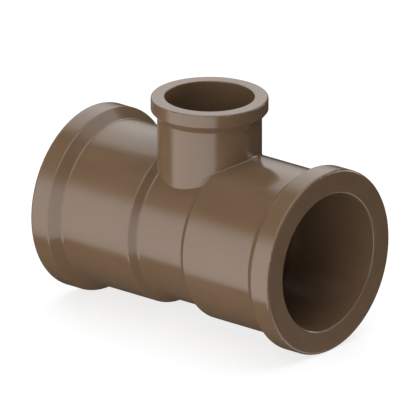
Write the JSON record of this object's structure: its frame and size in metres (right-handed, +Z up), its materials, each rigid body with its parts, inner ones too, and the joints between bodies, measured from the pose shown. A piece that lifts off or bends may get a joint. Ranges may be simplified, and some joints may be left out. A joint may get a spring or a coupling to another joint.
{
  "type": "reducing tee",
  "caption": "One-piece solvent-weld reducing tee in brown rigid plastic, with in-line run sockets, a smaller branch socket at right angles and a collar round each mouth.",
  "frame": {"origin": "directly below the branch axis, level with the underside of the run's end collars; the run axis is 33.9 mm above it", "axes": "+X along the run, +Z up along the branch towards its mouth, +Y level and square to both"},
  "size_m": [0.111, 0.0678, 0.0839],
  "materials": {
    "brown_pvc": "moulded rigid PVC in warm brown, satin gloss"
  },
  "bodies": {
    "root": {"tee_body": "brown_pvc"}
  },
  "joints": []
}
